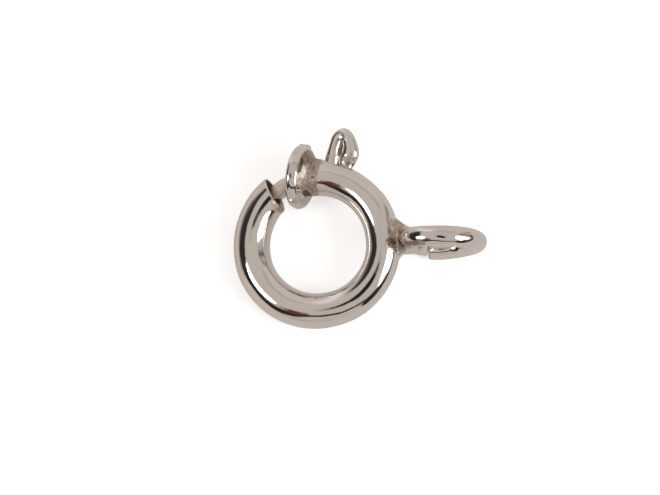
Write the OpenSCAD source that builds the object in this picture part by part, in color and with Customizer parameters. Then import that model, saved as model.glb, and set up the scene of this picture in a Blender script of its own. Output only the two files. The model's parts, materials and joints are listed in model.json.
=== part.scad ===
// Spring ring clasp with a soldered jump ring, in millimetres.
//
// The clasp is built flat first: the hollow ring lies in the XY plane, centred on the origin,
// with the jump ring on +X and the gap at the upper left. Angles count counterclockwise from +X.
// It is then leaned onto the three places where it touches a flat surface, so Z = 0 is that surface.

/* [Ring tube] */
// Outside diameter of the hollow ring
ring_od = 9; // [8.6:0.1:9.6]
// Diameter of the tube that the ring is bent from
tube_d = 1.88; // [1.8:0.02:2]
// Wall of the tube
tube_wall = 0.12; // [0.1:0.01:0.16]
// Angle of the open end that the bolt closes into
mouth_angle = 130.3; // [128:0.1:132]
// Lean of the open end's cut from square
mouth_skew = 11.6; // [0:0.1:14]
// Angle inside the tube where the web that holds the spring starts
web_angle = -62; // [-66:1:-58]
// Length of that web round the ring, in degrees
web_arc = 8; // [5:1:12]

/* [Collar] */
// Diameter of the round flange that ends the tube
collar_d = 3.46; // [3.2:0.02:3.6]
// Thickness of the flange, which is also the round of its rim
collar_t = 0.6; // [0.5:0.02:0.7]
// Angle of the flange's middle
collar_angle = 104; // [102:0.5:106]
// How far the flange sits outside the tube's centre line
collar_offset = 0.18; // [0:0.02:0.3]
// Lean of the flange in the ring's plane, from square to the tube
collar_skew = 21.5; // [12:0.5:24]
// Lean of the flange out of the ring's plane
collar_pitch = 8; // [0:1:10]
// Radius of the flared skirt where it meets the flange
skirt_r = 1.38; // [1.3:0.02:1.42]
// Length of the skirt along the tube, behind the flange
skirt_l = 0.8; // [0.7:0.05:1]

/* [Bolt and trigger] */
// Diameter of the bent bolt wire
bolt_d = 0.92; // [0.86:0.02:0.96]
// Clearance round the bolt in the flange's hole
bolt_play = 0.06; // [0.03:0.01:0.1]
// Angle of the bolt's tip, just inside the open end
bolt_tip_angle = 134.5; // [134:0.5:136]
// Angle of the bolt's tail, inside the tube
bolt_tail_angle = 58; // [56:1:60]
// Travel of the bolt as the clasp opens, in degrees round the ring
bolt_travel = 24; // [20:1:25]
// Diameter of the wire that the trigger is bent from
trigger_wire = 0.74; // [0.7:0.01:0.76]
// Thickness of the trigger, whose bent wire is pressed flatter
trigger_t = 0.58; // [0.5:0.02:0.64]
// Outside width of the trigger
trigger_w = 1.68; // [1.6:0.02:1.72]
// Angle of the trigger's foot on the ring
trigger_angle = 74.7; // [74:0.1:76]
// Direction that the trigger points in
trigger_direction = 84.5; // [80:0.5:88]
// Distance from the ring's centre to the trigger's top
trigger_reach = 6.32; // [6.1:0.02:6.5]
// Clearance between the trigger and its slot's sides
slot_play = 0.06; // [0.04:0.01:0.08]
// Clearance between the trigger and its slot's ends
slot_end_play = 0.11; // [0.08:0.01:0.14]

/* [Spring] */
// Diameter of the spring's wire
spring_wire = 0.14; // [0.12:0.01:0.16]
// Diameter of the spring's coil, measured at the wire's middle
spring_coil_d = 1.32; // [1.2:0.02:1.36]
// Number of turns
spring_turns = 16; // [10:1:18]

/* [Jump ring] */
// Diameter of the jump ring's wire
jump_wire = 1.1; // [1:0.02:1.14]
// Outside diameter of the jump ring
jump_od = 4.6; // [4.5:0.02:4.8]
// Distance from the ring's centre to the jump ring's centre
jump_reach = 6.84; // [6.8:0.01:6.9]
// How far the jump ring's centre sits towards the trigger's side
jump_rise = 0.04; // [0:0.02:0.16]
// Lean of the jump ring from square to the ring's plane
jump_lean = -5; // [-8:1:0]
// Angle of the cut, in the jump ring's lower half, from its far end
cut_angle = 117; // [108:1:122]
// Width of the cut, in degrees round the jump ring
cut_arc = 3; // [2:0.5:4]
// How far the two ends stand apart sideways, in degrees about the joint
cut_step = 6.5; // [3:0.5:7]
// Reach of the solder joint along the tube, above and below the jump ring
joint_up = 2.1; // [1.9:0.05:2.2]
joint_down = 1.15; // [1.05:0.05:1.2]
// Thickness of the solder joint across the ring's plane
joint_t = 1.2; // [1.1:0.05:1.3]

/* [Hidden] */
$fn = 96;
tube_r = tube_d / 2;
bore_r = tube_r - tube_wall;
ring_r = (ring_od - tube_d) / 2;
ring_outer_r = ring_od / 2;
cutter = 4;
cut_spare = 8;
tube_spare = 3;
bore_stop = 7;
hole_half_arc = 14;
fillet_steps = 6;
skirt_small_r = tube_r * 0.62;
skirt_flare = 1.4;
skirt_rim = collar_t / 5;
joint_near_x = ring_r + tube_r * 0.2;
joint_far_x = jump_reach - jump_od / 2 + jump_wire * 0.8;
joint_l = joint_far_x - joint_near_x;
joint_neck = jump_wire / 2;
joint_cone_r = tube_r * 0.8;

collar_rim_r = (collar_d - collar_t) / 2;
collar_centre = polar(ring_r + collar_offset, collar_angle);
collar_turn = collar_angle - collar_skew - 90;
hole_r = bolt_d / 2 + bolt_play;
tube_end = collar_angle + tube_spare + 360;
slot_half_angle = degrees(trigger_w / 2 + slot_end_play, ring_outer_r);
slot_from = trigger_angle - bolt_travel - slot_half_angle;
slot_to = trigger_angle + slot_half_angle;

trigger_bend_r = (trigger_w - trigger_wire) / 2;
trigger_foot = polar(ring_outer_r, trigger_angle);
trigger_h = trigger_reach - ring_outer_r;
trigger_root = ring_r - ring_outer_r + bolt_d * 0.3;

jump_r = (jump_od - jump_wire) / 2;
jump_centre = [jump_reach, jump_rise, 0];
short_lean = jump_lean + cut_step;

spring_start = bolt_tail_angle - degrees(spring_wire, ring_r);
spring_end = web_angle + degrees(spring_wire, ring_r);
spring_steps = 12;
spring_sides = 6;

// Each place that can touch the surface is a round ring: centre, axis, radius and half thickness.
hoops = [
    [[0, 0, 0], [0, 0, 1], ring_r, tube_r],
    [collar_centre, tilted(collar_turn, collar_pitch), collar_rim_r, collar_t / 2],
    [jump_centre, [0, cos(jump_lean), sin(jump_lean)], jump_r, jump_wire / 2],
];
up = settled([0, 0, 1], 12);
lean_axis = cross(up, [0, 0, 1]);
lean = acos(up.z);
floor_z = lowest(hoops[0], up) * up;
right_x = jump_reach + jump_od / 2;
top_y = (trigger_foot + polar(trigger_h, trigger_direction)).y;
middle = [(right_x - ring_outer_r) / 2, (top_y - ring_outer_r) / 2, 0];
level_middle = middle - (middle * up) * up;

function polar(r, angle) = [r * cos(angle), r * sin(angle), 0];
function degrees(length, r) = length / r * 180 / PI;
function unit(v) = v / norm(v);

// A direction at a heading in the ring's plane, raised out of it by a pitch
function tilted(heading, pitch) = [cos(pitch) * cos(heading), cos(pitch) * sin(heading), sin(pitch)];

// The lowest point of a round ring, where up is the way up
function lowest(hoop, up) =
    let (sideways = up - (up * hoop[1]) * hoop[1])
    hoop[0] - hoop[2] * (norm(sideways) > 0 ? unit(sideways) : [1, 0, 0]) - hoop[3] * up;

// The way up that puts the lowest points of the three hoops on one flat surface
function settled(up, tries) =
    let (p = [for (h = hoops) lowest(h, up)])
    let (normal = unit(cross(p[1] - p[0], p[2] - p[0])))
    tries == 0 ? up : settled(normal.z < 0 ? -normal : normal, tries - 1);

// Leans the flat clasp onto its surface and centres it there
module at_rest() {
    translate([0, 0, -floor_z])
    rotate(a = lean, v = lean_axis)
    translate(-level_middle)
    children();
}

// A bent rod round the ring's axis, from one angle to another
module bent_rod(bend_r, rod_r, from, to) {
    rotate([0, 0, from])
    rotate_extrude(angle = to - from)
    translate([bend_r, 0])
    circle(rod_r);
}

// The space past the open end's slanted cut
module mouth_cutter() {
    translate(polar(ring_r, mouth_angle))
    rotate([0, 0, mouth_angle - mouth_skew - 90])
    translate([0, -cutter / 2, -cutter / 2])
    cube([1, cutter, cutter]);
}

// The space past the flange's middle, on the gap's side
module collar_cutter() {
    at_collar()
    translate([-collar_t, -cutter / 2, -cutter / 2])
    cube([collar_t, cutter, cutter]);
}

module tube_outside() {
    difference() {
        bent_rod(ring_r, tube_r, mouth_angle - cut_spare, tube_end);
        mouth_cutter();
        collar_cutter();
    }
}

// The hollow of the tube, on both sides of the web, and the trigger's slot
module tube_inside() {
    bent_rod(ring_r, bore_r, mouth_angle - cut_spare - 1, 360 + web_angle - web_arc);
    bent_rod(ring_r, bore_r, web_angle, collar_angle - bore_stop);
    rotate([0, 0, slot_from])
    rotate_extrude(angle = slot_to - slot_from)
    translate([ring_r, -trigger_t / 2 - slot_play])
    square([tube_r + 1, trigger_t + 2 * slot_play]);
}

// Places a piece at the flange's middle, its axis along +X towards the trigger
module at_collar() {
    translate(collar_centre)
    rotate([0, 0, collar_turn])
    rotate([0, -collar_pitch, 0])
    children();
}

// A flange with a fully round rim, its axis along +X
module flange() {
    rotate([0, 90, 0])
    rotate_extrude() {
        translate([0, -collar_t / 2])
        square([collar_rim_r, collar_t]);
        translate([collar_rim_r, 0])
        circle(collar_t / 2);
    }
}

// The hollow-sided skirt of solder behind the flange, its axis along +X. It leans out of the ring.
module collar_skirt() {
    translate([0, collar_d / 2 - skirt_r - skirt_rim, 0])
    rotate([0, 90, 0])
    rotate_extrude()
    polygon([
        [0, 0],
        [skirt_r, 0],
        for (i = [0:fillet_steps])
            let (share = i / fillet_steps)
            let (flare = pow(1 - share, skirt_flare))
            [skirt_small_r + (skirt_r - skirt_small_r) * flare, collar_t / 2 + skirt_l * share],
        [0, collar_t / 2 + skirt_l]
    ]);
}

module collar() {
    at_collar() {
        flange();
        collar_skirt();
    }
}

// A stretch of the jump ring's wire, in a plane that leans from square to the ring
module jump_wire_arc(from, to, plane_lean) {
    translate(jump_centre)
    rotate([90 + plane_lean, 0, 0])
    bent_rod(jump_r, jump_wire / 2, from, to);
}

// The ends at the cut stand apart, because the two stretches lean differently
module jump_ring() {
    jump_wire_arc(-180, -cut_angle - cut_arc / 2, short_lean);
    jump_wire_arc(-cut_angle + cut_arc / 2, 180, jump_lean);
}

// One side of the solder joint's hollow outline, from the tube to the wire
function joint_side(reach) = [
    for (i = [0:fillet_steps])
        let (a = 90 * i / fillet_steps)
        let (neck = sign(reach) * joint_neck)
        [joint_near_x + joint_l * (1 - cos(a)), neck + (reach - neck) * (1 - sin(a))]
];

// The solder joint between the tube and the jump ring: a web along the tube and a round neck
module solder_joint() {
    translate([0, jump_rise, 0])
    linear_extrude(joint_t, center = true)
    polygon(concat(joint_side(joint_up), [for (i = [fillet_steps:-1:0]) joint_side(-joint_down)[i]]));
    translate([joint_near_x, jump_rise, 0])
    rotate([0, 90, 0])
    cylinder(h = joint_l, r1 = joint_cone_r, r2 = joint_neck);
}

module ring_body() {
    color("silver")
    difference() {
        union() {
            tube_outside();
            collar();
            jump_ring();
            solder_joint();
        }
        tube_inside();
        bent_rod(ring_r, hole_r, collar_angle - hole_half_arc, collar_angle + hole_half_arc);
    }
}

// The trigger's bent wire stands on its foot at the origin and points along +Y
module trigger_bend() {
    bend_y = trigger_h - trigger_bend_r - trigger_wire / 2;
    translate([0, bend_y, 0])
    rotate_extrude(angle = 180)
    translate([trigger_bend_r, 0])
    circle(trigger_wire / 2);
    for (side = [-1, 1])
        translate([side * trigger_bend_r, trigger_root, 0])
        rotate([-90, 0, 0])
        cylinder(h = bend_y - trigger_root, d = trigger_wire);
}

module trigger() {
    intersection() {
        trigger_bend();
        translate([-trigger_w, trigger_root, -trigger_t / 2])
        cube([2 * trigger_w, trigger_h - trigger_root + 1, trigger_t]);
    }
}

module bolt() {
    color("gainsboro") {
        bent_rod(ring_r, bolt_d / 2, bolt_tail_angle, bolt_tip_angle);
        translate(trigger_foot)
        rotate([0, 0, trigger_direction - 90])
        trigger();
    }
}

// The spring's wire: its middle line at a share of its length, and the ring of points round it
function coil_middle(share) =
    let (along = spring_start + (spring_end - spring_start) * share)
    let (turn = 360 * spring_turns * share)
    polar(ring_r + spring_coil_d / 2 * cos(turn), along) + [0, 0, spring_coil_d / 2 * sin(turn)];
function coil_ring(share) =
    let (along = spring_start + (spring_end - spring_start) * share)
    let (turn = 360 * spring_turns * share)
    let (out = polar(cos(turn), along) + [0, 0, sin(turn)])
    let (forward = unit(coil_middle(share + 0.001) - coil_middle(share - 0.001)))
    let (side = unit(cross(forward, out)))
    [for (k = [0:spring_sides - 1])
        let (a = 360 * k / spring_sides)
        coil_middle(share) + spring_wire / 2 * (cos(a) * out + sin(a) * side)];

module spring() {
    count = spring_turns * spring_steps;
    points = [for (i = [0:count]) each coil_ring(i / count)];
    sides = [
        for (i = [0:count - 1], k = [0:spring_sides - 1])
            let (next = (k + 1) % spring_sides)
            let (row = i * spring_sides)
            let (next_row = row + spring_sides)
            [row + k, row + next, next_row + next, next_row + k]
    ];
    ends = [
        [for (k = [spring_sides - 1:-1:0]) k],
        [for (k = [0:spring_sides - 1]) count * spring_sides + k]
    ];
    color("darkgray")
    polyhedron(points, concat(sides, ends));
}

at_rest() ring_body();
at_rest() bolt();
at_rest() spring();
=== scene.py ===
"""Looks of the spring ring clasp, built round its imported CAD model.

Forms are worked out in the clasp's flat frame, in millimetres: the ring's centre is the origin, +X points
to the jump ring and +Z is the ring's axis, towards the viewer. Angles count counterclockwise from +X, in
degrees. Each metal form is a signed distance: negative inside the metal, positive outside.
"""

import json
import math

import bpy
import numpy as np
from mathutils import Matrix, Vector


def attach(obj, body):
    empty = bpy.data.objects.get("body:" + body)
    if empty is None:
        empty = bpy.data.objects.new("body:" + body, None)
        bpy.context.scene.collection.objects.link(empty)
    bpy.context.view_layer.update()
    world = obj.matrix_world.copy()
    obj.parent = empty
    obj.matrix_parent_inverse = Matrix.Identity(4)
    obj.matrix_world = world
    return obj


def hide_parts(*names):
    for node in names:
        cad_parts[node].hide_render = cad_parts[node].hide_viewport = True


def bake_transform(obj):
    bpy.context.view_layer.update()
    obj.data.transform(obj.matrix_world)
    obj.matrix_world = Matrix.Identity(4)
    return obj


MM = 0.001

# Ring tube
RING_R = 3.56
TUBE_R = 0.94
TUBE_SWELL = 0.035
TUBE_WALL = 0.12
BULGE, BULGE_ANGLE = 0.05, 325
DENT, DENT_ANGLE = 0.035, 172
MOUTH_ANGLE = 130.3
MOUTH_TURN = 28.7
MOUTH_TILT = 0.09
MOUTH_ROUND = 0.07
MOUTH_LIP_R = 0.13
MOUTH_FILL_R = 0.17
MOUTH_FILL_FOOT_R = 0.12
GAP_MIDDLE = 117
WEB = (-70, -62)
EDGE_ROUND = 0.05
HOLLOW_EDGE = 0.04

# Collar: a rolled rim, a flat face and a flared skirt of solder behind it
COLLAR_ANGLE = 104
COLLAR_OFFSET = 0.18
COLLAR_TURN = -7.5
COLLAR_PITCH = 10
RIM_R = 1.43
RIM_ROLL_R = 0.285
RIM_FRONT = (-0.069, 1.546, 0.18)
RIM_BACK = (0.215, 1.475, 0.15)
FACE_BACK = 0.17
HOLE_R = 0.52
HOLE_ANGLES = (COLLAR_ANGLE - 12, COLLAR_ANGLE + 20)
BORE_STOP = (COLLAR_ANGLE - 3, COLLAR_ANGLE + 19)
SKIRT_SHIFT = 0.23
SKIRT_FROM = 0.2
SKIRT_TO = 1.1
SKIRT_BIG_R = 1.36
SKIRT_SMALL_R = 0.58
SKIRT_FLARE = 1.4

# Bolt and trigger
BOLT_R = 0.46
BOLT_ANGLES = (58, 134.5)
SLOT_ANGLES = (38.6, 86.3)
SLOT_HALF = 0.3
SLIT_TOP = (1.31, 5.41)
SLIT_LEAN = 80.4
SLIT_HALF = 0.055
SLIT_SEAM = 0.02
BEND_SQUASH = 0.82
SLIT_WEB = 0.05
TRIGGER_HALF_Z = 0.27
TRIGGER_POWER = 2.5
TRIGGER_ROOT = -1.75

# Spring
SPRING_WIRE_R = 0.07
SPRING_COIL_R = 0.66
SPRING_TURNS = 16
SPRING_STEPS = 24
SPRING_SIDES = 10

# Jump ring. The outside of its wire is flattened above and below.
JUMP_INNER_R = 1.28
JUMP_OUTER_R = 2.29
JUMP_SQUARE = 2.75
JUMP_HALF_W = 0.55
JUMP_ROUND = 0.58
JUMP_FLAT = 0.37
JUMP_REACH = 6.84
JUMP_RISE = 0.1
JUMP_LEANS = {"long": -2, "short": -1.2}
JUMP_DRIFT = 0.16
CUT_TURN = -17
CUT_FROM = -0.621
CUT_TO = -0.527
CUT_SIDES = {"long": (-175, -30), "short": (-190, -30)}
NECK_ROUND = 0.4

# The meshes: the box that each form is looked for in, and the side of its smallest cell
RING_BOX = ((-4.8, -4.8, -2.4), (9.4, 5.8, 2.4))
RING_CELL = 0.068
BOLT_BOX = ((-2.8, 2.4, -0.6), (2.6, 6.4, 0.6))
BOLT_CELL = 0.036

# Colours of the metals, of what lies on them, of the shade painted on them, and of the floor
SILVER = (0.87, 0.83, 0.79)
SILVER_DULL = (0.83, 0.79, 0.76)
# Painted shade: the dark brown painted inside the tube's hollow
HOLLOW_SHADE = (0.30, 0.21, 0.14)
BOLT_DARK = (0.76, 0.69, 0.61)
BOLT_PALE = (0.92, 0.87, 0.80)
# Painted shade: the brown painted on the bolt where it goes into the tube's open end
BOLT_SHADE_AT_MOUTH = (0.5, 0.4, 0.3)
# Painted shade: the dark brown painted deep in the trigger's slit
SLIT_SHADE = (0.3, 0.22, 0.13)
STEEL_DARK = (0.5, 0.49, 0.47)
STEEL_PALE = (0.6, 0.58, 0.55)
SOLDER_PALE = (0.57, 0.48, 0.395)
SOLDER_BROWN = (0.31, 0.235, 0.17)
# The darkest brown: tarnish at the solder, and also painted shade in the neck's crease and the hollow behind
# the collar's rim, and a painted dark reflection on the collar's back
DARK_TARNISH_AND_SHADE = (0.11, 0.085, 0.06)
FLOOR_SEEN = (0.98, 0.98, 0.98)
FLOOR_MIRRORED = (0.51, 0.46, 0.42)
FLOOR_GLOW_SEEN = 0.5
FLOOR_GLOW_MIRRORED = 0.2

# Camera: how far the ring's axis leans from the view, and towards which side of the picture
VIEW_TILT = 13
VIEW_TILT_TOWARDS = 149
LENS_MM = 300
SENSOR_MM = 36
FRAME_WIDTH_MM = 35.07
PHOTO_SIZE = (660, 495)
RING_CENTRE_PX = (316.9, 244.6)


def heading(degrees):
    """A unit vector in the ring's plane."""
    a = math.radians(degrees)
    return np.array([math.cos(a), math.sin(a), 0.0])


def smoothstep(low, high, value):
    t = np.clip((value - low) / (high - low), 0, 1)
    return t * t * (3 - 2 * t)


def join(a, b, k):
    """Union of two distances with a fillet that reaches about k from their corner."""
    h = np.maximum(k - np.abs(a - b), 0) / k
    return np.minimum(a, b) - h * h * h * k / 6


def round_join(a, b, r):
    """Union of two distances with a round fillet of radius r."""
    return np.maximum(r, np.minimum(a, b)) - np.hypot(np.maximum(r - a, 0), np.maximum(r - b, 0))


def cut(a, b, k=EDGE_ROUND):
    """What is left of form a outside form b, with the edge rounded over about k."""
    return -join(-a, b, k)


def wedge(p, start, end):
    """Depth inside the wedge between two angles. It is under half a turn."""
    return np.minimum(p @ heading(start + 90), -(p @ heading(end + 90)))


def capsule(p, a, b, radius_a, radius_b=None):
    """A rod with round ends from a to b, whose radius may change."""
    radius_b = radius_a if radius_b is None else radius_b
    a, b = np.array(a, float), np.array(b, float)
    share = np.clip(((p - a) @ (b - a)) / ((b - a) @ (b - a)), 0, 1)
    radius = radius_a + (radius_b - radius_a) * share
    return np.linalg.norm(p - a - share[:, None] * (b - a), axis=1) - radius


def oval(offsets, radii, power=2):
    """Nearly the distance to an ellipse or ellipsoid, from the offsets along its axes.

    A higher power makes it squarer.
    """
    near = sum(np.abs(o / r) ** power for o, r in zip(offsets, radii)) ** (1 / power)
    slope = np.sqrt(sum((np.abs(o / r) ** (power - 1) / r) ** 2 for o, r in zip(offsets, radii)))
    return (near - 1) * near ** (power - 1) / np.maximum(slope, 1e-6)


def ellipsoid(p, centre, radii):
    return oval((p - np.array(centre)).T, radii)


def at_height(place, z):
    """A place in the ring's plane, raised by z."""
    return place + np.array([0, 0, z])


def ripple(p, wavelength):
    """An uneven swell between -1 and 1."""
    a = p * (2 * math.pi / wavelength)
    x, y, z = a[:, 0], a[:, 1], a[:, 2]
    swell = np.sin(x + 1.7 * np.sin(0.6 * y)) * np.sin(0.9 * y + 1.3 * np.sin(0.7 * z))
    return swell * np.sin(0.8 * z + np.sin(0.9 * x))


def unround(p):
    """How far the ring's tube strays outwards from a true circle."""
    reach = np.maximum(np.hypot(p[:, 0], p[:, 1]), 0.1)
    lower_right = smoothstep(0.7, 1.0, p @ heading(BULGE_ANGLE) / reach)
    left = smoothstep(0.85, 1.0, p @ heading(DENT_ANGLE) / reach)
    return BULGE * lower_right - DENT * left


def bent_rod(p, radius, swell=0.0):
    """A rod bent round the ring's axis, thicker by the swell on the side away from the jump ring."""
    reach = np.hypot(p[:, 0], p[:, 1])
    thicker = -swell * p[:, 0] / np.maximum(reach, 0.1)
    return np.hypot(reach - RING_R - unround(p), p[:, 2]) - (radius + thicker)


def axes_of(turn, pitch):
    """Three unit vectors as rows: a heading raised by a pitch, one square to it in the plane, the third."""
    a = math.radians(pitch)
    forward = math.cos(a) * heading(turn) + np.array([0, 0, math.sin(a)])
    side = heading(turn + 90)
    return np.stack([forward, side, np.cross(forward, side)])


COLLAR_CENTRE = (RING_R + COLLAR_OFFSET) * heading(COLLAR_ANGLE)
COLLAR_AXES = axes_of(COLLAR_TURN, COLLAR_PITCH)


def in_collar(p):
    """Points in the collar's frame: along its axis to the tube, out of the ring, and towards the viewer."""
    return (p - COLLAR_CENTRE) @ COLLAR_AXES.T


def box(q, centre, half_size, edge):
    """A box with rounded edges."""
    d = np.abs(q - np.array(centre)) - (np.array(half_size) - edge)
    return np.linalg.norm(np.maximum(d, 0), axis=1) + np.minimum(d.max(1), 0) - edge


def collar(p):
    """A rolled rim, hammered flatter on its outside, round a flat face."""
    q = in_collar(p)
    reach = np.hypot(q[:, 1], q[:, 2])
    section = np.stack([q[:, 0], reach], 1)
    band = capsule(section, RIM_FRONT[:2], RIM_BACK[:2], RIM_FRONT[2], RIM_BACK[2])
    band = band + 0.12 * smoothstep(0.6, -0.2, q[:, 2])
    roll = join(np.hypot(reach - RIM_R, q[:, 0]) - RIM_ROLL_R, band, 0.06)
    face = np.maximum(reach - RIM_R, np.maximum(-RIM_ROLL_R - q[:, 0], q[:, 0] - FACE_BACK))
    return join(roll, face, 0.12)


def skirt(p):
    """The hollow-sided cone of solder behind the collar, with the lip where it laps over the rim."""
    q = in_collar(p)
    share = np.clip((q[:, 0] - SKIRT_FROM) / (SKIRT_TO - SKIRT_FROM), 0, 1)
    radius = SKIRT_SMALL_R + (SKIRT_BIG_R - SKIRT_SMALL_R) * (1 - share) ** SKIRT_FLARE
    side = 0.7 * (np.hypot(q[:, 1] - SKIRT_SHIFT, q[:, 2]) - radius)
    cone = np.maximum(side, np.maximum(-q[:, 0], q[:, 0] - SKIRT_TO))
    lip = box(q, (-0.11, 1.66, -0.25), (0.25, 0.12, 0.24), 0.04)
    return join(cone, lip, 0.08)


MOUTH_CENTRE = RING_R * heading(MOUTH_ANGLE)


def gap(p):
    """Depth in the gap between the tube's open end and the collar."""
    past_mouth = (p - MOUTH_CENTRE) @ (heading(MOUTH_TURN) + np.array([0, 0, MOUTH_TILT]))
    before_collar = -in_collar(p)[:, 0]
    return np.minimum(np.minimum(past_mouth, before_collar), p @ heading(GAP_MIDDLE))


# The lip at the inner side of the mouth, and the solder on the wall behind it
MOUTH_LIP = MOUTH_CENTRE - 0.84 * heading(MOUTH_TURN + 90) - 0.13 * heading(MOUTH_TURN)
MOUTH_FILL = MOUTH_LIP + 0.12 * heading(MOUTH_TURN + 90)
MOUTH_FILL_TOP = at_height(MOUTH_LIP + 0.30 * heading(MOUTH_TURN + 90), 0.54)
MOUTH_FILL_FOOT = MOUTH_LIP + 0.45 * heading(MOUTH_TURN + 90) + np.array([0.1, 0.05, -0.5])


def tube(p):
    """The ring's tube, with the lip that is turned out at the inner side of its open end."""
    skin = cut(bent_rod(p, TUBE_R, TUBE_SWELL), -gap(p), MOUTH_ROUND)
    lip = capsule(p, at_height(MOUTH_LIP, -0.3), at_height(MOUTH_LIP, 0.2), MOUTH_LIP_R)
    return join(skin, lip, 0.2)


def mouth_solder(p):
    """Solder that fills the wall at the inner side of the mouth, clear of the bolt."""
    low, high = at_height(MOUTH_FILL, -0.35), at_height(MOUTH_FILL, 0.35)
    fill = capsule(p, low, high, MOUTH_FILL_R)
    fill = join(fill, capsule(p, high, MOUTH_FILL_TOP, MOUTH_FILL_R), 0.1)
    return join(fill, capsule(p, low, MOUTH_FILL_FOOT, MOUTH_FILL_R, MOUTH_FILL_FOOT_R), 0.1)


def bore(p):
    """The tube's hollow, closed by the web and the collar, and the bolt's hole through the collar."""
    hollow = bent_rod(p, TUBE_R - TUBE_WALL, TUBE_SWELL)
    hollow = np.maximum(hollow, wedge(p, *WEB))
    hollow = np.maximum(hollow, -mouth_solder(p))
    hollow = np.maximum(hollow, wedge(p, *BORE_STOP))
    hole = np.maximum(bent_rod(p, HOLE_R), -wedge(p, *HOLE_ANGLES))
    return np.minimum(hollow, hole)


def slot(p):
    """The trigger's slot in the tube's outer side."""
    past_middle = np.hypot(p[:, 0], p[:, 1]) - RING_R
    return -np.minimum(np.minimum(SLOT_HALF - np.abs(p[:, 2]), wedge(p, *SLOT_ANGLES)), past_middle)


def jump_stretch(p, lean, drift=0.0):
    """A jump ring that leans from square to the ring and drifts aside to its end.

    Also returns the points in its plane.
    """
    a = math.radians(lean)
    q = p - np.array([JUMP_REACH, JUMP_RISE, 0])
    u = q[:, 0]
    v = q @ np.array([0, -math.sin(a), math.cos(a)])
    w = q @ np.array([0, math.cos(a), math.sin(a)])
    w = w + drift * smoothstep(0.2, -1.0, v) * smoothstep(1.55, -0.75, u)
    squarer = (np.abs(u) ** JUMP_SQUARE + np.abs(v) ** JUMP_SQUARE) ** (1 / JUMP_SQUARE)
    reach = np.maximum(np.where(u < 0, squarer, np.hypot(u, v)), 0.01)
    outside = JUMP_FLAT + (JUMP_ROUND - JUMP_FLAT) * (u / reach) ** 2
    middle = JUMP_OUTER_R - outside
    out = reach - middle
    distance = oval((out, w), (np.where(out > 0, outside, middle - JUMP_INNER_R), JUMP_HALF_W))
    return distance, np.stack([u, v, 0 * u], 1)


def jump_ring(p):
    """Two stretches of wire that part at the cut, where their ends stand apart sideways."""
    long, q = jump_stretch(p, JUMP_LEANS["long"], JUMP_DRIFT)
    before_cut = np.minimum(wedge(q, *CUT_SIDES["long"]), CUT_TO - q @ heading(CUT_TURN))
    long = cut(long, -before_cut, 0.03)
    short, q = jump_stretch(p, JUMP_LEANS["short"])
    before_cut = np.minimum(wedge(q, *CUT_SIDES["short"]), CUT_FROM - q @ heading(CUT_TURN))
    short = cut(short, before_cut, 0.2)
    return join(long, short, 0.02)


def neck(p):
    """The solder in the corners between the tube and the jump ring."""
    above = capsule(p, (4.32, 0.84, 0.10), (4.95, 0.50, 0.30), 0.38, 0.31)
    above = join(above, capsule(p, (5.0, 0.45, 0.5), (5.7, 0.34, 1.25), 0.26, 0.2), 0.2)
    below = capsule(p, (4.35, -0.36, -0.10), (4.90, -0.08, -0.20), 0.28)
    return join(above, below, 0.3)


def neck_crease(p):
    """The crease between the solder on the tube and the jump ring, on the near side."""
    return capsule(p, (4.57, 0.12, 0.74), (4.54, -0.3, 0.6), 0.05)


TOP_SOLDER = (0.05, 3.97, 0.0)


def spot(p, centre, radius):
    """A round soft spot that fades from 1 at its centre to 0 past its radius."""
    return smoothstep(1.3, 0.5, np.linalg.norm(p - np.array(centre), axis=1) / radius)


def streak(p, start, end, radius):
    """A soft spot drawn out from start to end."""
    return smoothstep(1.3, 0.5, capsule(p, start, end, 0) / radius)


def soldered(p):
    """Where rough solder lies on the ring: behind the collar's rim, at the neck and at the open end's lip."""
    q = in_collar(p)
    uneven = q[:, 0] + 0.12 * ripple(p, 0.8)
    past_rim = q[:, 0] + 0.25 * smoothstep(1.55, 1.2, np.hypot(q[:, 1], q[:, 2]))
    past_rim = past_rim - 0.3 * smoothstep(-0.2, -0.9, q[:, 1])
    near_collar = smoothstep(2.6, 2.2, np.linalg.norm(p - COLLAR_CENTRE, axis=1))
    behind = smoothstep(0.3, 0.4, past_rim)
    behind = behind * smoothstep(1.5, 0.85, uneven) * near_collar
    elsewhere = [
        0.6 * streak(p, (4.28, 0.25, 0.6), (4.28, -0.22, 0.6), 0.4),
        0.6 * streak(p, (4.02, -0.02, 0.82), (4.05, -0.22, 0.8), 0.24),
        0.65 * streak(p, (4.5, 0.0, 0.6), (5.1, -0.2, 1.5), 0.5),
        0.6 * streak(p, (5.1, -0.2, 1.6), (6.0, -0.25, 2.15), 0.3),
        0.6 * spot(p, (4.4, 0.85, 0.4), 0.6),
        0.6 * streak(p, (4.3, -0.25, 0.5), (4.6, -0.45, 0.3), 0.35),
        0.85 * streak(p, (-2.08, 2.3, 0.72), (-1.85, 1.95, 0.3), 0.34),
        0.7 * spot(p, MOUTH_FILL_FOOT, 0.3),
        0.66 * streak(p, (-2.12, 2.12, 0.76), (-2.12, 1.90, 0.66), 0.24),
    ]
    return np.maximum(behind, np.max(elsewhere, axis=0))


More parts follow.
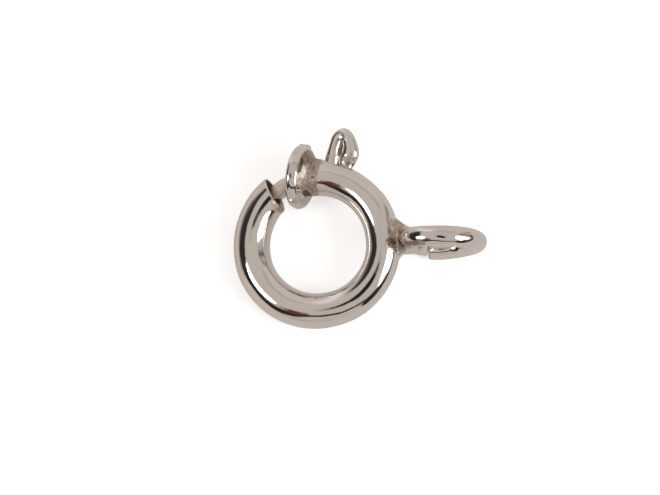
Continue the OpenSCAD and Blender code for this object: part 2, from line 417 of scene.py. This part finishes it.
def tarnish_and_painted_shade(p):
    """The darkest brown spots: tarnish of the solder, with painted shade and a painted dark reflection among
    them.
    """
    spots = [
        # Painted dark reflection: a dark streak on the collar's back face
        streak(p, (-0.66, 4.40, 1.15), (-0.76, 3.85, 1.27), 0.16),
        0.38 * streak(p, (-0.45, 4.55, 0.9), (-0.1, 4.1, 1.15), 0.45),
        # Painted shade in the hollow behind the collar's rim, on the ring's inner side
        0.6 * streak(p, (-0.55, 2.8, 0.5), (-0.45, 2.62, 0.3), 0.24),
        0.55 * spot(p, (-0.09, 3.50, 0.94), 0.12),
        0.5 * streak(p, (4.08, 0.04, 0.75), (4.2, -0.1, 0.6), 0.3),
        # Painted shade along the crease between the neck's solder and the jump ring
        0.8 * streak(p, (4.55, 0.15, 0.75), (4.5, -0.45, 0.55), 0.13),
        0.6 * streak(p, (4.6, -0.02, 0.8), (4.85, -0.2, 1.2), 0.26),
        0.4 * streak(p, (5.1, -0.22, 1.7), (5.8, -0.25, 2.1), 0.2),
        0.5 * streak(p, (4.3, -0.3, 0.5), (4.5, -0.35, 0.4), 0.22),
    ]
    return np.max(spots, axis=0)


def inside_tube(p):
    """The hollow's own surface, which is painted dark brown as shade, less where solder fills the wall at the
    mouth.
    """
    near_bore = smoothstep(0.03, -0.03, bent_rod(p, TUBE_R - 0.06, TUBE_SWELL))
    near_bore = near_bore * smoothstep(0.05, 0.0, np.abs(bore(p)))
    filled = np.maximum(streak(p, MOUTH_FILL, MOUTH_FILL_FOOT, 0.35), spot(p, MOUTH_FILL_TOP, 0.3))
    return near_bore * (1 - 0.8 * filled)


def outer_form(p):
    """The ring's metal without its hollow and slot."""
    skin = join(tube(p), ellipsoid(p, TOP_SOLDER, (0.85, 0.6, 0.85)), 0.1)
    skin = round_join(skin, skirt(p), 0.12)
    skin = join(skin, collar(p), 0.04)
    skin = round_join(skin, neck(p), 0.3)
    skin = round_join(skin, jump_ring(p), NECK_ROUND)
    return cut(skin, neck_crease(p), 0.1)


def ring_form(p):
    hollow = np.minimum(bore(p), slot(p))
    return cut(outer_form(p), hollow, HOLLOW_EDGE)


TRIGGER_AXES = axes_of(SLIT_LEAN, 0)


def trigger(p):
    """A bent wire whose two legs lie close along a slit. The right leg bulges."""
    q = (p - np.array([*SLIT_TOP, 0])) @ TRIGGER_AXES.T
    up, right, z = q[:, 0], -q[:, 1], q[:, 2]
    out = np.hypot(right, BEND_SQUASH * np.maximum(up, 0))
    side = 0.5 + 0.5 * right / np.maximum(out, 1e-6)
    side = side * side * (3 - 2 * side)
    down = -up
    left_reach = 0.65 + 0.12 * np.clip(down, 0, 0.85)
    right_reach = 0.69 + 0.3 * smoothstep(-0.55, 0.45, down) - 0.25 * smoothstep(0.55, 1.45, down)
    reach = left_reach + (right_reach - left_reach) * side
    opening = SLIT_SEAM + SLIT_HALF * np.maximum(1 - ((down - 0.36) / 0.38) ** 2, 0)
    middle, half = (reach + opening) / 2, (reach - opening) / 2
    thick = TRIGGER_HALF_Z + 0.1 * side * smoothstep(0.95, 0.55, down)
    wire = 0.8 * oval((out - middle, z), (half, thick), TRIGGER_POWER)
    return np.maximum(join(wire, slit_web(p), 0.06), TRIGGER_ROOT - up)


def slit_web(p):
    """Solder that closes the slit between the trigger's legs, deep in it."""
    q = (p - np.array([*SLIT_TOP, 0])) @ TRIGGER_AXES.T
    return np.maximum(np.maximum(np.abs(q[:, 2]) - SLIT_WEB, np.abs(q[:, 1]) - 0.2), q[:, 0] - 0.1)


def bolt_form(p):
    """The bolt, its trigger and the lump of solder at the trigger's foot."""
    rod = cut(bent_rod(p, BOLT_R), wedge(p, *BOLT_ANGLES))
    lump = ellipsoid(p, (1.50, 4.55, 0.02), (0.34, 0.30, 0.30))
    lump = lump + 0.025 * ripple(p, 0.5)
    return join(join(rod, trigger(p), 0.2), lump, 0.12)


def gradients(distance, p, step=0.002):
    """Unit vectors straight out of a form, by differences over a small step."""
    total = np.zeros_like(p)
    for corner in ((1, 1, 1), (1, -1, -1), (-1, 1, -1), (-1, -1, 1)):
        k = np.array(corner, float)
        total += np.outer(distance(p + step * k), k)
    return total / np.maximum(np.linalg.norm(total, axis=1, keepdims=True), 1e-12)


def surface_points(distance, start, end, f_start, f_end):
    """Where the surface crosses each line from start to end."""
    for _ in range(4):
        share = np.clip(f_start / (f_start - f_end), 0.01, 0.99)[:, None]
        middle = start + share * (end - start)
        f_middle = distance(middle)
        nearer = (f_middle < 0) == (f_start < 0)
        start = np.where(nearer[:, None], middle, start)
        end = np.where(nearer[:, None], end, middle)
        f_start = np.where(nearer, f_middle, f_start)
        f_end = np.where(nearer, f_end, f_middle)
    share = (f_start / (f_start - f_end))[:, None]
    return start + share * (end - start)


def grid_values(distance, low, counts, cell):
    """The distance at every point of a grid, slab by slab."""
    axes = [low[i] + cell * np.arange(counts[i]) for i in range(3)]
    y, z = np.meshgrid(axes[1], axes[2], indexing="ij")
    slab = np.stack([np.zeros(y.size), y.ravel(), z.ravel()], 1)
    values = np.empty(counts)
    for i, x in enumerate(axes[0]):
        slab[:, 0] = x
        values[i] = distance(slab).reshape(counts[1:])
    return values


def crossings(distance, values, low, cell):
    """Every grid line that crosses the surface: the point, and the four cells round the line.

    The cells are in an order that makes their quad face outwards.
    """
    points, cells = [], []
    for axis in range(3):
        step = np.eye(3, dtype=int)[axis]
        at = np.argwhere(np.diff(values < 0, axis=axis))
        inner = np.all(at > 0, axis=1)
        at = at[inner]
        f_start = values[tuple(at.T)]
        f_end = values[tuple((at + step).T)]
        start = low + cell * at
        points.append(surface_points(distance, start, start + cell * step, f_start, f_end))
        side_b, side_c = np.eye(3, dtype=int)[(axis + 1) % 3], np.eye(3, dtype=int)[(axis + 2) % 3]
        around = np.stack([at, at - side_b, at - side_b - side_c, at - side_c], 1)
        outward = f_start < 0
        around[~outward] = around[~outward][:, ::-1]
        cells.append(around)
    return np.concatenate(points), np.concatenate(cells)


def corner_points(points, normals, owner, count, cell_low, cell, pull=0.03):
    """The point in each cell that best lies on all the surface planes that cross it.

    A slight pull to the middle of the crossings settles it where those planes are nearly one.
    """
    def total(weights):
        return np.bincount(owner, weights=weights, minlength=count)

    number = total(np.ones(len(owner)))
    middle = np.stack([total(points[:, i]) for i in range(3)], 1) / number[:, None]
    ahead = np.einsum("ij,ij->i", normals, points - middle[owner])
    matrix = np.empty((count, 3, 3))
    for i in range(3):
        for j in range(3):
            matrix[:, i, j] = total(normals[:, i] * normals[:, j])
    matrix += pull * number[:, None, None] * np.eye(3)
    right = np.stack([total(normals[:, i] * ahead) for i in range(3)], 1)
    found = middle + np.linalg.solve(matrix, right[:, :, None])[:, :, 0]
    return np.clip(found, cell_low, cell_low + cell)


def corner_normals(distance, vertices, quads, crease_cos=0.9):
    """The normal at each corner of each quad. At a sharp edge it is taken a little inside its own quad."""
    smooth = gradients(distance, vertices)[quads]
    corners = vertices[quads]
    flat = np.cross(corners[:, 2] - corners[:, 0], corners[:, 3] - corners[:, 1])
    flat /= np.maximum(np.linalg.norm(flat, axis=1, keepdims=True), 1e-12)
    creased = np.einsum("ijk,ik->ij", smooth, flat) < crease_cos
    quad, corner = np.nonzero(creased)
    inside = corners[quad, corner] + 0.45 * (corners[quad].mean(1) - corners[quad, corner])
    smooth[quad, corner] = gradients(distance, inside)
    return smooth


def contour(distance, low, high, cell):
    """The surface of a form as vertices, quads and corner normals, by dual contouring."""
    low = np.array(low, float)
    counts = tuple(np.ceil((np.array(high) - low) / cell).astype(int) + 1)
    values = grid_values(distance, low, counts, cell)
    points, cells = crossings(distance, values, low, cell)
    normals = gradients(distance, points)
    ids, owner = np.unique(np.ravel_multi_index(cells.reshape(-1, 3).T, counts), return_inverse=True)
    owner = owner.ravel()
    cell_low = low + cell * np.stack(np.unravel_index(ids, counts), 1)
    repeated = np.repeat(np.arange(len(points)), 4)
    vertices = corner_points(points[repeated], normals[repeated], owner, len(ids), cell_low, cell)
    for _ in range(2):
        step = distance(vertices)[:, None] * gradients(distance, vertices)
        vertices = vertices - np.clip(step, -0.3 * cell, 0.3 * cell)
    quads = owner.reshape(-1, 4)
    return vertices, quads, corner_normals(distance, vertices, quads)


def flat_frame(record):
    """The clasp's flat frame in the row frame, as a matrix from millimetres to metres."""
    hinge = next(j for j in record["behaviour"]["joints"] if j["name"] == "bolt_draw")
    eye = next(m for m in record["mounts"] if m["name"] == "jump_ring_eye")
    centre = Vector(hinge["pos_m"])
    z_axis = -Vector(hinge["axis"]).normalized()
    x_axis = Vector(eye["pos_m"]) - centre
    x_axis = (x_axis - x_axis.dot(z_axis) * z_axis).normalized()
    turn = Matrix((x_axis, z_axis.cross(x_axis), z_axis)).transposed()
    return Matrix.Translation(centre) @ turn.to_4x4() @ Matrix.Scale(MM, 4)


def add_piece(name, vertices, quads, normals, flat, masks, material):
    """A mesh object from points in the flat frame, with its corner normals and its masks as attributes."""
    to_row = np.array(flat)
    turn = to_row[:3, :3] / MM
    mesh = bpy.data.meshes.new(name)
    mesh.from_pydata(vertices @ to_row[:3, :3].T + to_row[:3, 3], [], quads.tolist())
    mesh.polygons.foreach_set("use_smooth", np.ones(len(quads), bool))
    attribute = mesh.attributes.new("flat_mm", "FLOAT_VECTOR", "POINT")
    attribute.data.foreach_set("vector", vertices.astype(np.float32).ravel())
    for mask, values in masks.items():
        attribute = mesh.attributes.new(mask, "FLOAT", "POINT")
        attribute.data.foreach_set("value", values.astype(np.float32))
    mesh.normals_split_custom_set((normals.reshape(-1, 3) @ turn.T).tolist())
    mesh.materials.append(material)
    piece = bpy.data.objects.new(name, mesh)
    bpy.context.scene.collection.objects.link(piece)
    return piece


def spring_mesh():
    """The return spring's wire as vertices, quads and corner normals."""
    sides = SPRING_SIDES
    gap_angle = math.degrees(2 * SPRING_WIRE_R / RING_R)
    share = np.linspace(0, 1, SPRING_TURNS * SPRING_STEPS + 1)
    start, end = BOLT_ANGLES[0] - gap_angle, WEB[1] + gap_angle

    def middle(s):
        a = np.radians(start + (end - start) * s)
        turn = 2 * np.pi * SPRING_TURNS * s
        reach = RING_R + SPRING_COIL_R * np.cos(turn)
        return np.stack([reach * np.cos(a), reach * np.sin(a), SPRING_COIL_R * np.sin(turn)], 1)

    def unit(v):
        return v / np.linalg.norm(v, axis=1, keepdims=True)

    a = np.radians(start + (end - start) * share)
    turn = 2 * np.pi * SPRING_TURNS * share
    out = np.stack([np.cos(turn) * np.cos(a), np.cos(turn) * np.sin(a), np.sin(turn)], 1)
    forward = unit(middle(share + 1e-4) - middle(share - 1e-4))
    side = unit(np.cross(forward, out))
    out = np.cross(side, forward)
    around = 2 * np.pi * np.arange(sides) / sides
    across, up = np.cos(around)[None, :, None], np.sin(around)[None, :, None]
    normals = across * out[:, None] + up * side[:, None]
    vertices = (middle(share)[:, None] + SPRING_WIRE_R * normals).reshape(-1, 3)
    ring, k = np.meshgrid(np.arange(len(share) - 1), np.arange(sides), indexing="ij")
    here, there = ring * sides, (ring + 1) * sides
    next_k = (k + 1) % sides
    quads = np.stack([c.ravel() for c in (here + k, here + next_k, there + next_k, there + k)], 1)
    return vertices, quads, normals.reshape(-1, 3)[quads]


def add_node(tree, kind, inputs=None, **settings):
    """A shader node with its settings, and its inputs set to values or linked to sockets."""
    made = tree.nodes.new(kind)
    for name, value in settings.items():
        setattr(made, name, value)
    for name, value in (inputs or {}).items():
        if isinstance(value, bpy.types.NodeSocket):
            tree.links.new(value, made.inputs[name])
        else:
            made.inputs[name].default_value = value
    return made


def maths(tree, operation, *values):
    return add_node(tree, "ShaderNodeMath", dict(enumerate(values)), operation=operation).outputs[0]


def vector_maths(tree, operation, output, *values):
    made = add_node(tree, "ShaderNodeVectorMath", dict(enumerate(values)), operation=operation)
    return made.outputs[output]


def mix_colour(tree, factor, a, b):
    made = add_node(tree, "ShaderNodeMix", data_type="RGBA")
    for index, value in ((0, factor), (6, a), (7, b)):
        if isinstance(value, bpy.types.NodeSocket):
            tree.links.new(value, made.inputs[index])
        elif index == 0:
            made.inputs[index].default_value = value
        else:
            made.inputs[index].default_value = (*value, 1)
    return made.outputs[2]


def map_range(tree, value, low, high, to_low=0.0, to_high=1.0):
    inputs = {0: value, 1: low, 2: high, 3: to_low, 4: to_high}
    return add_node(tree, "ShaderNodeMapRange", inputs, interpolation_type="SMOOTHSTEP").outputs[0]


def new_material(name):
    """A material with a metallic shader, its node tree and the place on the piece in millimetres."""
    material = bpy.data.materials.new(name)
    material.use_nodes = True
    tree = material.node_tree
    shader = next(n for n in tree.nodes if n.type == "BSDF_PRINCIPLED")
    shader.inputs["Metallic"].default_value = 1
    place = add_node(tree, "ShaderNodeAttribute", attribute_name="flat_mm").outputs["Vector"]
    return material, tree, shader, place


def noise(tree, place, scale, detail):
    inputs = {"Vector": place, "Scale": scale, "Detail": detail}
    return add_node(tree, "ShaderNodeTexNoise", inputs).outputs["Fac"]


def mask_of(tree, name):
    return add_node(tree, "ShaderNodeAttribute", attribute_name=name).outputs["Fac"]


def bump(tree, height, distance, strength=1.0, normal=None):
    inputs = {"Height": height, "Distance": distance, "Strength": strength}
    if normal is not None:
        inputs["Normal"] = normal
    return add_node(tree, "ShaderNodeBump", inputs).outputs[0]


def solder_look(tree, place, colour, rough, normal):
    """Rough mottled brown solder laid over a polished look, with the darkest brown of tarnish and painted
    shade: its colour, roughness and normal.
    """
    solder = mask_of(tree, "solder")
    tarnish_shade_mask = mask_of(tree, "tarnish_shade_mask")
    mottle = noise(tree, place, 7, 5)
    ragged = maths(tree, "ADD", solder, maths(tree, "MULTIPLY_ADD", mottle, 0.5, -0.25))
    cover = map_range(tree, ragged, 0.3, 0.62)
    strong = map_range(tree, solder, 0.5, 1, 0.35, 1)
    mottled = maths(tree, "MULTIPLY", map_range(tree, mottle, 0.4, 0.6), strong)
    brown = mix_colour(tree, mottled, SOLDER_PALE, SOLDER_BROWN)
    colour = mix_colour(tree, maths(tree, "MULTIPLY", cover, 0.9), colour, brown)
    # The darkest brown is tarnish at the solder and, at a few spots, painted shade and a painted dark
    # reflection
    dark = map_range(tree, maths(tree, "MULTIPLY_ADD", noise(tree, place, 9, 3), 0.7, tarnish_shade_mask), 0.55, 1.05)
    colour = mix_colour(tree, dark, colour, DARK_TARNISH_AND_SHADE)
    rough = maths(tree, "MAXIMUM", rough, map_range(tree, cover, 0, 1, 0.05, 0.42))
    rough = maths(tree, "MAXIMUM", rough, map_range(tree, dark, 0, 1, 0.05, 0.45))
    normal = bump(tree, noise(tree, place, 9, 4), 4e-5, maths(tree, "MULTIPLY", cover, strong), normal)
    return colour, rough, normal


def polished_silver():
    """Silver polished by tumbling: bright, gently uneven, with brown tarnish left at the solder, painted
    shade in the tube's hollow and at a few spots by the solder, and a painted dark reflection on the collar's
    back.
    """
    material, tree, shader, place = new_material("polished_silver")
    inside = mask_of(tree, "inside")
    uneven = map_range(tree, noise(tree, place, 0.5, 3), 0.35, 0.7)
    colour = mix_colour(tree, uneven, SILVER, SILVER_DULL)
    worn = map_range(tree, noise(tree, place, 1.1, 5), 0.3, 0.75, 0.05, 0.11)
    swell = bump(tree, noise(tree, place, 0.9, 1), 1.5e-5)
    grain = bump(tree, noise(tree, place, 6, 3), 1.6e-6, 1.0, swell)
    colour, rough, normal = solder_look(tree, place, colour, worn, grain)
    # Painted shade: the tube's hollow is painted dark brown
    colour = mix_colour(tree, inside, colour, HOLLOW_SHADE)
    rough = maths(tree, "MAXIMUM", rough, maths(tree, "MULTIPLY", inside, 0.5))
    tree.links.new(colour, shader.inputs["Base Color"])
    tree.links.new(rough, shader.inputs["Roughness"])
    tree.links.new(normal, shader.inputs["Normal"])
    return material


def satin_silver():
    """Drawn wire, satin with lengthwise lines on the bolt and polished on the trigger, with painted shade
    deep in the slit and where the bolt goes into the tube.
    """
    material, tree, shader, place = new_material("bolt_silver")
    satin = mask_of(tree, "satin")
    around = mask_of(tree, "around")
    lines = add_node(tree, "ShaderNodeCombineXYZ", {0: maths(tree, "MULTIPLY", around, 9.0)}).outputs[0]
    lines = vector_maths(tree, "ADD", 0, lines, vector_maths(tree, "MULTIPLY", 0, place, (0.35, 0.35, 0.0)))
    drawn = noise(tree, lines, 1.0, 3)
    worn = mix_colour(tree, map_range(tree, drawn, 0.35, 0.65), BOLT_DARK, BOLT_PALE)
    colour = mix_colour(tree, satin, SILVER, worn)
    rough = map_range(tree, satin, 0, 1, 0.17, 0.36)
    grain = bump(tree, noise(tree, place, 7, 3), 1.6e-6)
    normal = bump(tree, drawn, 6e-6, satin, grain)
    colour, rough, normal = solder_look(tree, place, colour, rough, normal)
    # Painted shade deep in the trigger's slit
    colour = mix_colour(tree, mask_of(tree, "slit"), colour, SLIT_SHADE)
    # Painted shade on the bolt where it goes into the tube's open end
    colour = mix_colour(tree, mask_of(tree, "shade_at_mouth"), colour, BOLT_SHADE_AT_MOUTH)
    tree.links.new(colour, shader.inputs["Base Color"])
    tree.links.new(rough, shader.inputs["Roughness"])
    tree.links.new(normal, shader.inputs["Normal"])
    return material


def spring_steel():
    """Bare drawn steel wire."""
    material, tree, shader, place = new_material("spring_steel")
    tint = mix_colour(tree, noise(tree, place, 3, 3), STEEL_DARK, STEEL_PALE)
    rough = map_range(tree, noise(tree, place, 14, 2), 0.3, 0.7, 0.25, 0.4)
    tree.links.new(tint, shader.inputs["Base Color"])
    tree.links.new(rough, shader.inputs["Roughness"])
    return material


# What the polished metal reflects. Each light or dark shape is a soft band between two places, and a place
# is the way that a mirror faces, to the right and up, when the viewer sees the shape in it.
TENT = (0.55, 0.50, 0.465)
SHAPES = [
    # start, end, half width at both, softness, colour
    ((-0.86, 0.10), (-0.62, -0.52), (0.16, 0.14), 0.1, (0.485, 0.41, 0.375)),
    ((-0.62, -0.52), (0.02, -0.74), (0.14, 0.14), 0.1, (0.485, 0.41, 0.375)),
    ((-0.30, 0.50), (0.35, 0.52), (0.12, 0.12), 0.12, (0.59, 0.54, 0.515)),
    ((-0.36, 0.62), (-0.20, 0.43), (0.08, 0.05), 0.08, (0.84, 0.77, 0.76)),
    ((-0.16, 0.40), (0.23, 0.34), (0.03, 0.035), 0.05, (0.42, 0.38, 0.365)),
    ((0.64, -0.46), (0.807, 0.06), (0.05, 0.07), 0.07, (0.72, 0.66, 0.64)),
    ((0.33, 0.105), (0.62, 0.105), (0.03, 0.04), 0.03, (0.44, 0.43, 0.44)),
    ((0.34, 0.18), (0.60, 0.19), (0.025, 0.035), 0.035, (0.13, 0.11, 0.10)),
    ((0.42, 0.25), (0.61, 0.44), (0.03, 0.05), 0.06, (0.24, 0.205, 0.195)),
    ((-0.66, -0.18), (-0.45, -0.44), (0.02, 0.02), 0.05, (0.72, 0.66, 0.62)),
    ((-0.43, 0.36), (-0.54, 0.24), (0.08, 0.14), 0.06, (0.18, 0.15, 0.135)),
    ((-0.54, 0.24), (-0.59, 0.00), (0.14, 0.12), 0.07, (0.14, 0.115, 0.105)),
    ((-0.41, 0.36), (-0.458, 0.27), (0.045, 0.08), 0.03, (0.05, 0.044, 0.04)),
    ((-0.455, 0.27), (-0.50, 0.16), (0.085, 0.125), 0.04, (0.045, 0.038, 0.035)),
    ((-0.50, 0.16), (-0.546, 0.035), (0.125, 0.11), 0.035, (0.035, 0.029, 0.027)),
    ((-0.552, 0.035), (-0.546, -0.117), (0.10, 0.075), 0.03, (0.03, 0.024, 0.023)),
    ((-0.25, -0.12), (-0.265, -0.245), (0.035, 0.07), 0.02, (0.14, 0.042, 0.04)),
    ((-0.546, -0.117), (-0.46, -0.244), (0.075, 0.08), 0.025, (0.025, 0.02, 0.02)),
    ((-0.46, -0.244), (-0.38, -0.325), (0.08, 0.10), 0.025, (0.025, 0.02, 0.02)),
    ((-0.38, -0.325), (-0.30, -0.37), (0.10, 0.04), 0.025, (0.03, 0.02, 0.02)),
    ((-0.30, -0.34), (-0.20, -0.262), (0.040, 0.040), 0.016, (0.04, 0.026, 0.022)),
    ((-0.20, -0.262), (-0.109, -0.299), (0.040, 0.040), 0.016, (0.03, 0.024, 0.022)),
    ((-0.109, -0.299), (0.00, -0.342), (0.040, 0.038), 0.018, (0.03, 0.025, 0.024)),
    ((0.00, -0.342), (0.24, -0.345), (0.038, 0.033), 0.02, (0.045, 0.038, 0.034)),
    ((0.345, -0.385), (0.445, -0.32), (0.11, 0.08), 0.02, (0.025, 0.02, 0.02)),
    ((0.445, -0.32), (0.56, -0.242), (0.08, 0.045), 0.025, (0.03, 0.024, 0.024)),
    ((0.56, -0.242), (0.639, -0.127), (0.045, 0.035), 0.025, (0.04, 0.032, 0.03)),
    ((0.639, -0.127), (0.665, -0.02), (0.035, 0.03), 0.025, (0.06, 0.05, 0.05)),
    ((0.665, -0.02), (0.62, 0.20), (0.03, 0.04), 0.03, (0.10, 0.085, 0.08)),
    ((-0.365, 0.005), (-0.373, -0.035), (0.02, 0.08), 0.02, (5.2, 5.3, 5.5)),
    ((-0.373, -0.035), (-0.35, -0.097), (0.08, 0.025), 0.02, (5.2, 5.3, 5.5)),
    ((0.335, 0.015), (0.53, -0.045), (0.065, 0.05), 0.022, (5.2, 5.3, 5.5)),
    ((0.35, -0.055), (0.49, -0.115), (0.085, 0.05), 0.022, (5.2, 5.3, 5.5)),
    ((0.36, -0.12), (0.385, -0.22), (0.07, 0.03), 0.022, (5.2, 5.3, 5.5)),
    ((-0.14, -0.01), (-0.09, 0.01), (0.02, 0.06), 0.02, (0.02, 0.016, 0.016)),
    ((-0.12, 0.05), (-0.035, -0.02), (0.05, 0.065), 0.02, (0.02, 0.016, 0.016)),
    ((-0.08, 0.02), (-0.043, 0.06), (0.065, 0.02), 0.02, (0.02, 0.016, 0.016)),
]


def studio_light(right, up, back):
    """The room as light from each direction, with the viewer on the side that back points to."""
    world = bpy.data.worlds.new("studio")
    world.use_nodes = True
    bpy.context.scene.world = world
    tree = world.node_tree
    direction = add_node(tree, "ShaderNodeTexCoord").outputs["Generated"]
    half = vector_maths(tree, "NORMALIZE", 0, vector_maths(tree, "ADD", 0, direction, tuple(back)))
    across = vector_maths(tree, "DOT_PRODUCT", 1, half, tuple(right))
    upward = vector_maths(tree, "DOT_PRODUCT", 1, half, tuple(up))
    place = add_node(tree, "ShaderNodeCombineXYZ", {0: across, 1: upward}).outputs[0]
    colour = TENT
    for start, end, half_widths, softness, light in SHAPES:
        a, b = np.array((*start, 0.0)), np.array((*end, 0.0))
        along = b - a
        offset = vector_maths(tree, "SUBTRACT", 0, place, tuple(a))
        share = vector_maths(tree, "DOT_PRODUCT", 1, offset, tuple(along / (along @ along)))
        share = add_node(tree, "ShaderNodeClamp", {0: share}).outputs[0]
        nearest = add_node(tree, "ShaderNodeVectorMath", {0: tuple(along), 3: share}, operation="SCALE")
        away = vector_maths(tree, "DISTANCE", 1, offset, nearest.outputs[0])
        taper = half_widths[1] - half_widths[0]
        edge = maths(tree, "MULTIPLY_ADD", share, -taper, away)
        cover = map_range(tree, edge, half_widths[0] - softness, half_widths[0] + softness, 1, 0)
        colour = mix_colour(tree, cover, colour, light)
    seen = add_node(tree, "ShaderNodeLightPath").outputs["Is Camera Ray"]
    colour = mix_colour(tree, seen, colour, (1, 1, 1))
    tree.links.new(colour, tree.nodes["Background"].inputs["Color"])


def pale_floor():
    """A white floor. The metal sees it greyer, as it sees the tent round it."""
    bpy.ops.mesh.primitive_circle_add(vertices=128, radius=1.5, fill_type="NGON")
    floor = bpy.context.object
    floor.name = "floor"
    material = bpy.data.materials.new("floor")
    material.use_nodes = True
    tree = material.node_tree
    shader = next(n for n in tree.nodes if n.type == "BSDF_PRINCIPLED")
    seen = add_node(tree, "ShaderNodeLightPath").outputs["Is Camera Ray"]
    tree.links.new(mix_colour(tree, seen, FLOOR_MIRRORED, FLOOR_SEEN), shader.inputs["Base Color"])
    shader.inputs["Roughness"].default_value = 0.9
    shader.inputs["Specular IOR Level"].default_value = 0
    shader.inputs["Emission Color"].default_value = (1, 1, 1, 1)
    glow = map_range(tree, seen, 0, 1, FLOOR_GLOW_MIRRORED, FLOOR_GLOW_SEEN)
    tree.links.new(glow, shader.inputs["Emission Strength"])
    floor.data.materials.append(material)


def photo_camera(flat):
    """A long lens at the photo's angle. Returns the directions right, up and back, in the row frame."""
    tilt = math.radians(VIEW_TILT)
    aside = math.sin(tilt) * heading(VIEW_TILT_TOWARDS)
    ring_axis = Vector((aside[0], aside[1], math.cos(tilt)))
    from_flat = Vector((0, 0, 1)).rotation_difference(ring_axis).to_matrix()
    turn = flat.to_3x3().normalized() @ from_flat.transposed()
    right, up, back = turn.col
    px_m = FRAME_WIDTH_MM * MM / PHOTO_SIZE[0]
    offset_x = (PHOTO_SIZE[0] / 2 - RING_CENTRE_PX[0]) * px_m
    offset_y = (RING_CENTRE_PX[1] - PHOTO_SIZE[1] / 2) * px_m
    distance = LENS_MM * FRAME_WIDTH_MM / SENSOR_MM * MM
    camera = bpy.data.objects.new("camera", bpy.data.cameras.new("camera"))
    camera.data.lens = LENS_MM
    camera.data.sensor_width = SENSOR_MM
    camera.data.clip_start = 0.01
    camera.data.clip_end = 10
    place = flat.to_translation() + right * offset_x + up * offset_y + back * distance
    camera.matrix_world = Matrix.Translation(place) @ turn.to_4x4()
    bpy.context.scene.collection.objects.link(camera)
    bpy.context.scene.camera = camera
    return right, up, back


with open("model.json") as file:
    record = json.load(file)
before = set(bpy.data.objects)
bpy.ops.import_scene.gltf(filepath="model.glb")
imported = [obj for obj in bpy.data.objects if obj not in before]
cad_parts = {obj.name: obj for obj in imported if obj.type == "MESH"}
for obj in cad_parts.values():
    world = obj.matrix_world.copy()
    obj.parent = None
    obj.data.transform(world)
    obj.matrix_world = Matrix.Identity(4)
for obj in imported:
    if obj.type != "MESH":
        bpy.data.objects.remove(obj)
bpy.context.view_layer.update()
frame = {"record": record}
flat = flat_frame(frame["record"])
right, up, back = photo_camera(flat)
studio_light(right, up, back)
pale_floor()
bpy.context.scene.view_settings.view_transform = "Standard"

coarser = 1
silver = polished_silver()
satin = satin_silver()

vertices, quads, normals = contour(ring_form, *RING_BOX, RING_CELL * coarser)
masks = {
    "solder": soldered(vertices),
    "tarnish_shade_mask": tarnish_and_painted_shade(vertices),
    # painted shade inside the tube's hollow
    "inside": inside_tube(vertices),
}
ring = add_piece("ring_and_jump_ring", vertices, quads, normals, flat, masks, silver)
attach(ring, "ring")
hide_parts("ring_body")

vertices, quads, normals = contour(bolt_form, *BOLT_BOX, BOLT_CELL * coarser)
foot = spot(vertices, (1.5, 4.5, 0.1), 0.45)
masks = {
    "satin": smoothstep(0.0, 0.15, -bent_rod(vertices, BOLT_R + 0.2)),
    "around": np.arctan2(vertices[:, 2], np.hypot(vertices[:, 0], vertices[:, 1]) - RING_R),
    "solder": np.maximum(0.55 * foot, 0.5 * spot(vertices, (0.6, 4.65, 0.1), 0.3)),
    "tarnish_shade_mask": 0.6 * spot(vertices, (1.85, 4.3, 0.1), 0.2),
    # painted shade deep in the slit
    "slit": smoothstep(0.05, 0.0, slit_web(vertices)),
    # painted shade where the bolt goes into the tube
    "shade_at_mouth": smoothstep(0.3, 0.0, (vertices - MOUTH_CENTRE) @ heading(MOUTH_TURN)),
}
bolt = add_piece("bolt_and_trigger", vertices, quads, normals, flat, masks, satin)
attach(bolt, "bolt")
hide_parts("bolt")

vertices, quads, normals = spring_mesh()
spring = add_piece("return_spring", vertices, quads, normals, flat, {}, spring_steel())
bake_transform(spring)
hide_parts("spring")
